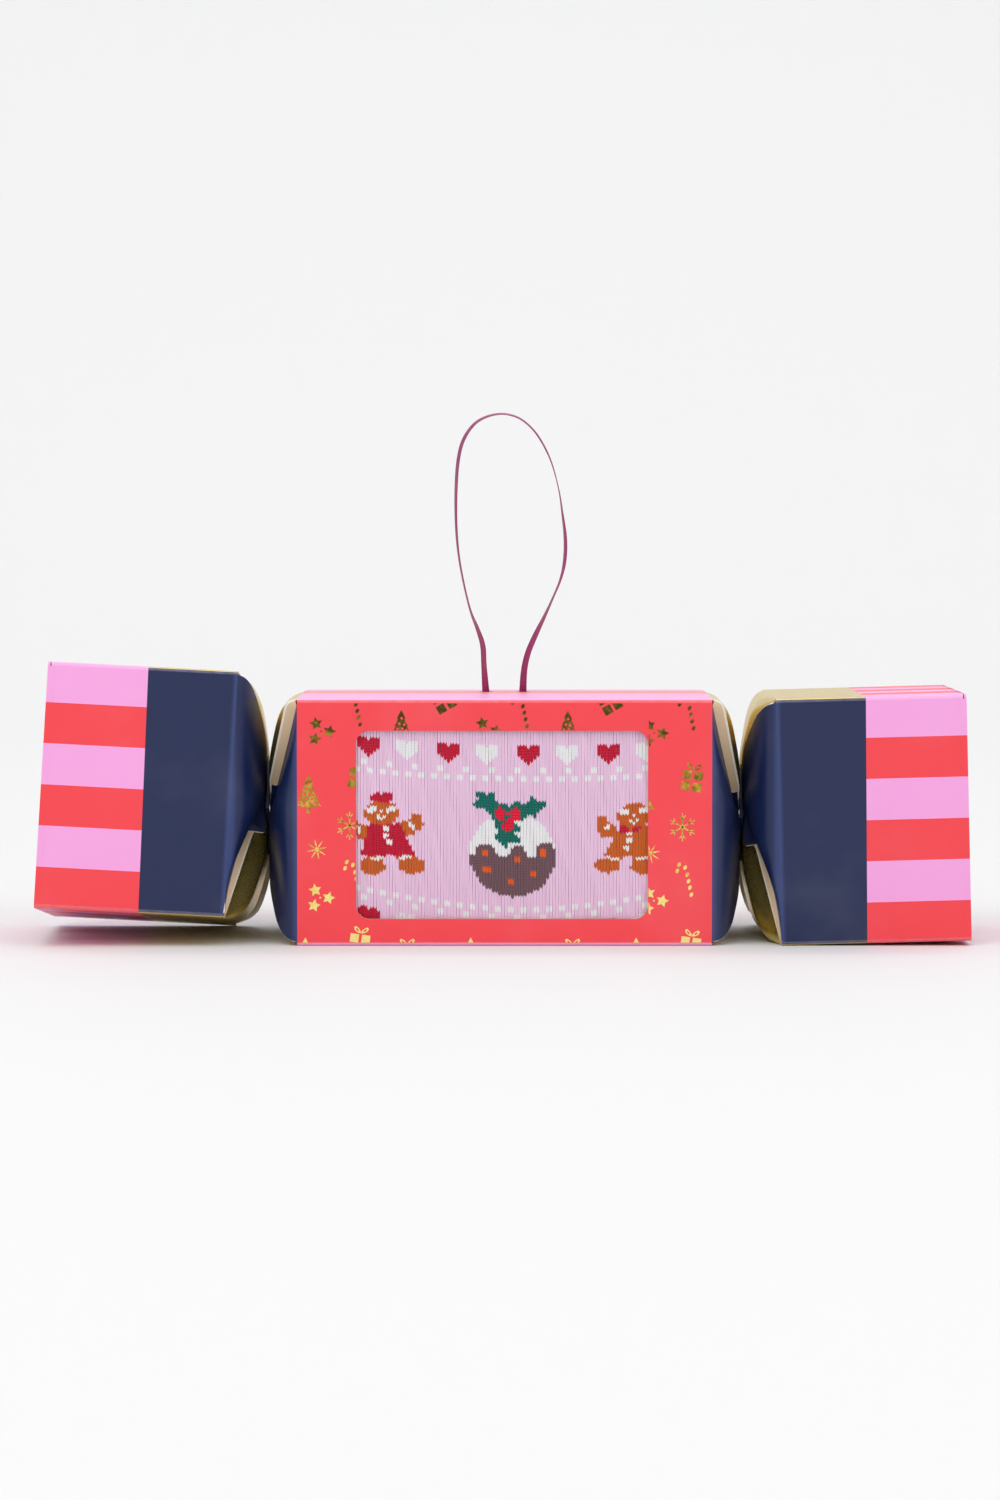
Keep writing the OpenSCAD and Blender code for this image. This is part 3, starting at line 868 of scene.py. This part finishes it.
plain_knit = knit_ground()
for node, front, back, belly in (("sock_front", -30.6, -5.9, 0.6), ("sock_back", -4.6, 20.2, 0)):
    sock = sock_body(node + "_pad", front, back, belly, plain_knit)
    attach(sock, "root")
    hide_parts(node)
yarns = [yarn(n, c) for n, c in YARNS.items()]
for part, strip in STRIPS.items():
    v, f, kinds, painted_shade_depth = stitch_mesh(*strip)
    stitches = new_piece("sock_front_stitches_" + part, v, f, yarns, "root", kinds)
    stitches.data.attributes.new("painted_shade_depth", "FLOAT", "POINT").data.foreach_set("value", painted_shade_depth)

# ---- ribbon
# Across, above the top, and how much of the ribbon's width faces the front.
ROUTE = [(-5.5, 7, 1.4), (-5.8, 12.5, 1.35), (-7.2, 17, 1.0), (-9.2, 22, 0.5), (-11, 29, 0.42),
         (-12.5, 37, 0.45), (-13.2, 45, 0.6), (-13.2, 54, 0.75), (-12.5, 63, 0.85),
         (-10.8, 69, 0.85), (-7.2, 73.5, 0.7), (-1.8, 75.5, 0.5), (3.2, 74.8, 0.45),
         (7.2, 72, 0.38), (10.2, 68, 0.36), (12.8, 62.5, 0.22), (14.8, 55, -0.06),
         (15.8, 48, -0.45), (16.5, 41.5, -0.8), (16.3, 35.5, -0.8), (15.2, 30.5, -0.5),
         (13.2, 25.5, -0.4), (11, 20.5, -0.75), (8.6, 15.5, -1.25), (6.5, 10.5, -1.45),
         (5.4, 5.5, -1.6)]
RIBBON_W, RIBBON_T = 3.0, 0.28
HOLE_SHOWN = 1.95  # the same measure where the ribbon leaves its holes


def smooth_path(points, steps):
    """A Catmull-Rom curve through the points."""
    pts = [points[0]] + points + [points[-1]]
    out = []
    for i in range(1, len(pts) - 2):
        a, b, c, d = pts[i - 1:i + 3]
        for k in range(steps):
            t = k / steps
            out.append(0.5 * (2 * b + (c - a) * t + (2 * a - 5 * b + 4 * c - d) * t * t
                              + (3 * b - a - 3 * c + d) * t ** 3))
    return out + [points[-1]]


def ribbon():
    """A flat satin ribbon that leaves its holes face on and turns edge on."""
    points = [Vector((x, HOLE_Y, SIDE + z, shown)) for x, z, shown in ROUTE]
    knot = [Vector((side * HOLE_X, HOLE_Y, KNOT_TOP, -side * HOLE_SHOWN)) for side in (-1, 1)]
    path = smooth_path([knot[0], *points, knot[1]], 6)
    shown = [p[3] for p in path]
    path = [p.to_3d() for p in path]
    length = [0.0]
    for a, b in zip(path, path[1:]):
        length.append(length[-1] + (b - a).length)
    total = length[-1]
    cols, verts, faces = 7, [], []
    for i, p in enumerate(path):
        t = (path[min(i + 1, len(path) - 1)] - path[max(i - 1, 0)]).normalized()
        flat = t.cross(Vector((0, 1, 0))).normalized()
        turn = math.acos(shown[i] / RIBBON_W)
        wide = flat * math.cos(turn) + Vector((0, 1, 0)) * math.sin(turn)
        thick = t.cross(wide).normalized()
        curl = 0.10 * math.sin(6.3 * length[i] / total * 3)
        for side in (1, -1):
            for j in range(cols):
                q = (j / (cols - 1) - 0.5) * side
                edge = RIBBON_T / 2 * (1 - 0.55 * abs(2 * q) ** 6)
                verts.append(p + wide * q * RIBBON_W + thick * (side * edge + curl * (4 * q * q)))
    ring = 2 * cols
    for i in range(len(path) - 1):
        for j in range(ring):
            a, b = i * ring + j, i * ring + (j + 1) % ring
            faces.append((a, b, b + ring, a + ring))
    last = (len(path) - 1) * ring
    faces.append(tuple(range(ring - 1, -1, -1)))
    faces.append(tuple(last + j for j in range(ring)))
    sh = Shader("plum_satin")
    weft = sh.math("SINE", sh.times(sh.xyz()[2], 2 * math.pi / 0.00035))
    slubs = sh.noise(1, 3, 0.6, sh.scaled((900, 900, 5200)))
    tone = sh.plus(sh.times(slubs, 0.8), sh.times(weft, 0.08))
    colour = sh.ramp(tone, [(0.2, lin("6E0C4A")), (0.75, lin("C4267E"))])
    mat = sh.set(Base_Color=colour, Roughness=0.42, Anisotropic=0.5, Sheen_Weight=0.05,
                 Sheen_Roughness=0.4, Specular_IOR_Level=0.35,
                 Normal=sh.bump(tone, 0.00004, 0.5))
    obj = new_piece("ribbon_satin", verts, faces, [mat], sharp=60)
    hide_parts("ribbon_loop")
    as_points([tuple(p * MM) for p in path[::3]] + [tuple(path[-1] * MM)])
    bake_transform(obj)
    assign(NODES["ribbon_knot"], mat)


ribbon()

# ---- foil motifs
FOIL = [  # motif, across, up, turn, the side of the window
    ("stars", -48.2, 56.4, 0, "L"), ("stars", 39.2, 55.9, 0, "R"), ("stars", -4.6, 56.5, 0, "T"),
    ("stars", -48.5, 12.6, 0, "L"), ("stars", 39.2, 11.8, 0, "R"), ("tree", -51.5, 39.9, 0, "L"),
    ("tree", -27.1, 57.0, 0, "T"), ("tree", 16.6, 56.8, 0, "T"), ("tree", 36.1, 38.9, 0, "R"),
    ("gift", -38.2, 44.1, -9, "L"), ("gift", 49.2, 43.4, -9, "R"), ("gift", -38.2, 0.4, -8, "B"),
    ("gift", 48.8, -0.4, -8, "B"), ("gift", -16.0, 64.4, 30, "T"), ("gift", 27.6, 64.1, 30, "T"),
    ("gift", -25.6, -2.8, 0, "B"), ("gift", 17.9, -2.8, 0, "B"), ("tree", -52.4, -2.9, 0, "B"),
    ("tree", -8.9, -2.9, 0, "B"), ("tree", 34.6, -2.9, 0, "B"), ("burst", -49.3, 25.4, 0, "L"),
    ("burst", 38.2, 24.4, 0, "R"), ("flake", -40.7, 31.7, 0, "L"), ("flake", 46.7, 31.3, 0, "R"),
    ("cane", -39.8, 18.6, 0, "L"), ("cane", 47.5, 17.9, 0, "R"), ("cane", -39.5, 62.7, 0, "T"),
    ("cane", 48.0, 61.7, 0, "T"), ("cane", 4.3, 62.2, 0, "T")]
REPEAT = 43.75  # the pattern comes again after this, both ways
ALL_OVER = [
    ("stars", -48.3, 12.6, 0), ("tree", -51.5, 39.9, 0), ("tree", -27.1, 13.2, 0),
    ("gift", -38.2, 44.1, -9), ("gift", -16.0, 20.6, 30), ("gift", -25.6, 39.9, 0),
    ("burst", -49.3, 25.4, 0), ("flake", -40.7, 31.7, 0), ("cane", -39.8, 18.6, 0),
    ("burst", -14.5, 35.0, 0), ("flake", -29.0, 25.5, 0)]


def spin(points, a, x=0.0, y=0.0):
    """Points turned by a about the origin, and moved."""
    return [(x + p * math.cos(rad(a)) - q * math.sin(rad(a)),
             y + p * math.sin(rad(a)) + q * math.cos(rad(a))) for p, q in points]


def star(x, y, r, a):
    return [(x + q * math.cos(rad(a + 36 * i)), y + q * math.sin(rad(a + 36 * i)))
            for i, q in enumerate((r, r * 0.50) * 5)]


def round_dot(x, y, r, n=10, tall=1.0):
    return [(x + r * math.cos(2 * math.pi * i / n), y + tall * r * math.sin(2 * math.pi * i / n))
            for i in range(n)]


def bar(x0, y0, x1, y1, w0, w1):
    """A straight bar from one place to another, tapered from width to width."""
    d = math.hypot(x1 - x0, y1 - y0)
    nx, ny = -(y1 - y0) / d / 2, (x1 - x0) / d / 2
    return [(x0 - nx * w0, y0 - ny * w0), (x1 - nx * w1, y1 - ny * w1),
            (x1 + nx * w1, y1 + ny * w1), (x0 + nx * w0, y0 + ny * w0)]


def motif(kind):
    """Gold outlines of a motif in millimetres, and the coral ones that show through it."""
    gold, bare = [], []
    if kind == "stars":
        gold = [star(x, y, 1.75, a) for x, y, a in
                ((-1.25, 2.1, 100), (2.25, 0.05, 2), (-1.6, -1.95, 78))]
        gold.append(round_dot(0.05, 0.1, 0.25))
    elif kind == "tree":
        half = [(0, 5.1), (0.75, 3.7), (1.15, 2.7), (0.8, 2.75), (1.5, 1.35), (1.75, 0.75),
                (1.35, 0.85), (2.2, -0.6), (2.65, -1.25), (2.15, -1.1), (3.0, -2.6),
                (3.45, -3.15), (2.4, -2.95), (1.5, -3.35), (0.5, -3.2), (0.4, -5.0)]
        gold = [half + [(-x, y) for x, y in reversed(half[1:])]]
        bare = [round_dot(x, y, 0.36, 8) for x, y in
                ((0.1, 2.9), (-0.5, 1.5), (0.75, 1.2), (-1.0, 0.1), (0.3, 0.2), (1.3, -0.2),
                 (-1.7, -1.3), (-0.4, -1.0), (0.9, -1.3), (-2.3, -2.4), (-1.0, -2.3),
                 (0.35, -2.3), (1.8, -2.2))]
    elif kind == "gift":
        square = [(-1.13, -1.13), (1.13, -1.13), (1.13, 1.13), (-1.13, 1.13)]
        gold = [[(x + p, y + q) for p, q in square] for x in (-1.5, 1.5) for y in (-1.5, 1.5)]
        for side in (-1, 1):
            loop = [(0.0, 2.9), (0.7, 3.0), (1.6, 3.5), (2.0, 4.3), (1.6, 4.7), (0.8, 4.3),
                    (0.15, 3.6)]
            gap = [(0.55, 3.3), (1.2, 3.6), (1.5, 4.1), (1.2, 4.2), (0.75, 3.85)]
            gold.append([(side * x, y) for x, y in loop])
            bare.append([(side * x, y) for x, y in gap])
    elif kind == "burst":
        gold = [round_dot(0, 0, 0.65, 12)]
        for i in range(8):
            c, t = math.cos(rad(45 * i + 12)), math.sin(rad(45 * i + 12))
            gold.append(bar(0.85 * c, 0.85 * t, 2.6 * c, 2.6 * t, 0.42, 0.16))
    elif kind == "flake":
        for i in range(6):
            arm = [bar(0, 0, 0, 3.7, 0.36, 0.3)]
            for side in (-1, 1):
                arm.append(bar(0, 2.1, side * 0.85, 3.05, 0.32, 0.26))
            gold += [spin(p, 60 * i) for p in arm]
    else:
        for x, y in ((-2.1, 1.85), (-1.65, 3.5), (-0.05, 2.75), (0.5, 0.85), (0.85, -0.85),
                     (1.2, -2.55), (1.6, -4.4)):
            gold.append(spin(round_dot(0, 0, 0.46, 8, 1.45), -28, x, y))
    return gold, bare


def cut(poly, a, b, c):
    """The part of a polygon where a x + b y < c."""
    out = []
    for (x0, y0), (x1, y1) in zip(poly, poly[1:] + poly[:1]):
        d0, d1 = a * x0 + b * y0 - c, a * x1 + b * y1 - c
        if d0 < 0:
            out.append((x0, y0))
        if (d0 < 0) != (d1 < 0):
            t = d0 / (d0 - d1)
            out.append((mix(x0, x1, t), mix(y0, y1, t)))
    return out


def on_panel(poly, side):
    """A motif's outline, cut at the panel's edges and at the window, where there is one."""
    left, right, low, high = WINDOW
    planes = [(1, 0, LENGTH / 2 - 0.3), (-1, 0, LENGTH / 2 - 0.3), (0, 1, SIDE - CREASE),
              (0, -1, -0.85)]
    if side:
        planes.append({"L": (1, 0, left - 0.15), "R": (-1, 0, -right - 0.15),
                       "B": (0, 1, low - 0.15), "T": (0, -1, -high - 0.15)}[side])
    for plane in planes:
        poly = cut(poly, *plane)
        if len(poly) < 3:
            return []
    tidy = [p for p, q in zip(poly, poly[1:] + poly[:1]) if math.dist(p, q) > 0.02]
    area = sum(p[0] * q[1] - q[0] * p[1] for p, q in zip(tidy, tidy[1:] + tidy[:1])) / 2
    if len(tidy) < 3 or abs(area) < 0.02:
        return []
    return tidy if area > 0 else tidy[::-1]


def plates(name, outlines, face, thick, mat):
    """Thin solid plates on the front (face < 0) or on the back of the middle box."""
    verts, faces, out = [], [], math.copysign(1, face)
    for poly in outlines:
        if out > 0:
            poly = [(-x, y) for x, y in reversed(poly)]
        n, a = len(poly), len(verts)
        verts += [(x, face, z) for x, z in poly] + [(x, face + out * thick, z) for x, z in poly]
        rings = [tuple(range(a, a + n)), tuple(range(a + 2 * n - 1, a + n - 1, -1))]
        rings += [(a + (i + 1) % n, a + i, a + n + i, a + n + (i + 1) % n) for i in range(n)]
        faces += [r if out > 0 else r[::-1] for r in rings]
    obj = new_piece(name, verts, faces, [mat], "root")
    face_outwards(obj)
    for poly in obj.data.polygons:
        poly.use_smooth = False
    return obj


def foil_with_painted_reflection():
    """Hot-stamped gold foil, faintly uneven, with a painted reflection: bright yellow low down,
    dark olive high up.
    """
    sh = Shader("gold_foil")
    grain = sh.noise(2600, 3, 0.6)
    wave = sh.noise(240, 2, 0.5)
    patch = sh.noise(620, 2, 0.6)
    # The colour follows height: a painted reflection, with random patches on top.
    high = sh.math("DIVIDE", sh.xyz()[2], SIDE * MM)
    level = sh.plus(high, sh.times(sh.minus(patch, 0.5), 0.9))
    colour = sh.ramp(level, [(0.10, lin("FBEB92")), (0.34, lin("F3D26C")), (0.58, lin("C09A30")),
                             (0.80, lin("7C6412")), (0.98, lin("4C3C06"))])
    return sh.set(Base_Color=colour, Metallic=0.55, Roughness=0.34,
                  Normal=sh.bump(grain, 0.00002, 0.5, sh.bump(wave, 0.00015, 0.5)))


def laid_out(places):
    """The motifs' gold and coral outlines in their places on a panel."""
    both = [], []
    for kind, x, y, turn, side in places:
        for found, into in zip(motif(kind), both):
            placed = [on_panel(spin(outline, turn, x, y), side) for outline in found]
            into.extend(p for p in placed if p)
    return both


def foil():
    """Foil plates on the front and back, with thinner coral ones where they have gaps."""
    shine = foil_with_painted_reflection()
    show = card_finish(Shader("coral_in_foil"), CORAL, 1.0)
    back = [(kind, x + i * REPEAT, y + j * REPEAT, turn, None)
            for kind, x, y, turn in ALL_OVER for i in range(3) for j in (-1, 0, 1)]
    for name, out, places in (("front", -1, FOIL), ("back", 1, back)):
        gold, bare = laid_out(places)
        for part, outlines, lift, thick, mat in (("foil", gold, -0.01, 0.05, shine),
                                                 ("dots", bare, 0.02, 0.03, show)):
            obj = plates(f"centre_{name}_{part}", outlines, out * (HALF + lift), thick, mat)


foil()

# ---- floor and light
STAGE, COVE_R = 4.0, 0.9  # in metres: how far the floor runs, its curve
WALL_Y = 1.2  # where the floor starts to curve up behind


def cove(start, away):
    """A quarter turn up, from a place on the floor."""
    return [(start + away * COVE_R * math.sin(rad(a)), COVE_R * (1 - math.cos(rad(a))))
            for a in range(0, 91, 6)]


def paper(name, profile, along_x, lo, hi, mat):
    """A strip of studio paper: its profile runs along x or y and then up."""
    verts = []
    for d, z in profile:
        for e in (lo, hi):
            x, y = (d, e) if along_x else (e, d)
            verts.append((x / MM, y / MM, z / MM - 0.02))
    faces = [(2 * i, 2 * i + 1, 2 * i + 3, 2 * i + 2) for i in range(len(profile) - 1)]
    new_piece(name, verts, faces, [mat])


def backdrop():
    """A pale floor that curves up into a wall far behind, and into low ones all round."""
    sh = Shader("studio_paper")
    sh.set(Base_Color=(0.815, 0.815, 0.82, 1), Roughness=0.75, Specular_IOR_Level=0.2)
    back, far = WALL_Y + COVE_R, STAGE + COVE_R
    wall = [(-STAGE, 0), (-1.0, 0), (0.5, 0)] + cove(WALL_Y, 1) + [(back, 3.5)]
    paper("studio_floor", wall, False, -STAGE, STAGE, sh.mat)
    paper("studio_left", cove(-STAGE, -1), True, -far, back, sh.mat)
    paper("studio_right", cove(STAGE, 1), True, -far, back, sh.mat)
    paper("studio_front", cove(-STAGE, -1), False, -far, far, sh.mat)


backdrop()

LIGHTS = [  # name, place, aim, size, watts
    ("key", (-0.9, -1.1, 1.7), (0, 0, 0.03), (1.2, 1.2), 8.2),
    ("fill", (1.1, -1.1, 1.3), (0, 0, 0.03), (1.2, 1.2), 5.0),
    ("top", (0, 0.3, 1.8), (0, 0, 0), (1.6, 1.2), 1.4),
    ("wall", (0, 0.9, 2.5), (0, 2.1, 1.0), (3.0, 0.6), 12)]
for name, place, aim, size, watts in LIGHTS:
    data = bpy.data.lights.new(name, "AREA")
    data.shape, data.size, data.size_y, data.energy = "RECTANGLE", *size, watts
    lamp = in_scene(name, data)
    lamp.location = place
    lamp.rotation_euler = (Vector(aim) - Vector(place)).to_track_quat("-Z", "Y").to_euler()
bpy.context.scene.view_settings.view_transform = "Standard"
world = bpy.data.worlds.new("studio")
bpy.context.scene.world = world
world.use_nodes = True
sky = world.node_tree
split = sky.nodes.new("ShaderNodeSeparateXYZ")
sky.links.new(sky.nodes.new("ShaderNodeTexCoord").outputs["Generated"], split.inputs[0])


def sky_level(axis, start, stop, low, high):
    """The sky's brightness, which changes along one axis from low to high."""
    size = sky.nodes.new("ShaderNodeMath")
    size.operation = "ABSOLUTE"
    sky.links.new(split.outputs[axis], size.inputs[0])
    level = sky.nodes.new("ShaderNodeMapRange")
    level.interpolation_type = "SMOOTHSTEP"
    for i, v in enumerate((start, stop, low, high)):
        level.inputs[i + 1].default_value = v
    sky.links.new(size.outputs[0], level.inputs[0])
    return level.outputs[0]


both = sky.nodes.new("ShaderNodeMath")
both.operation = "MULTIPLY"
sky.links.new(sky_level(0, 0.45, 0.95, 1.06, 0.45), both.inputs[0])
sky.links.new(sky_level(2, 0.05, 0.55, 0.55, 1.0), both.inputs[1])
sky.links.new(both.outputs[0], sky.nodes["Background"].inputs[1])
sky.nodes["Background"].inputs[0].default_value = (1, 1, 1, 1)
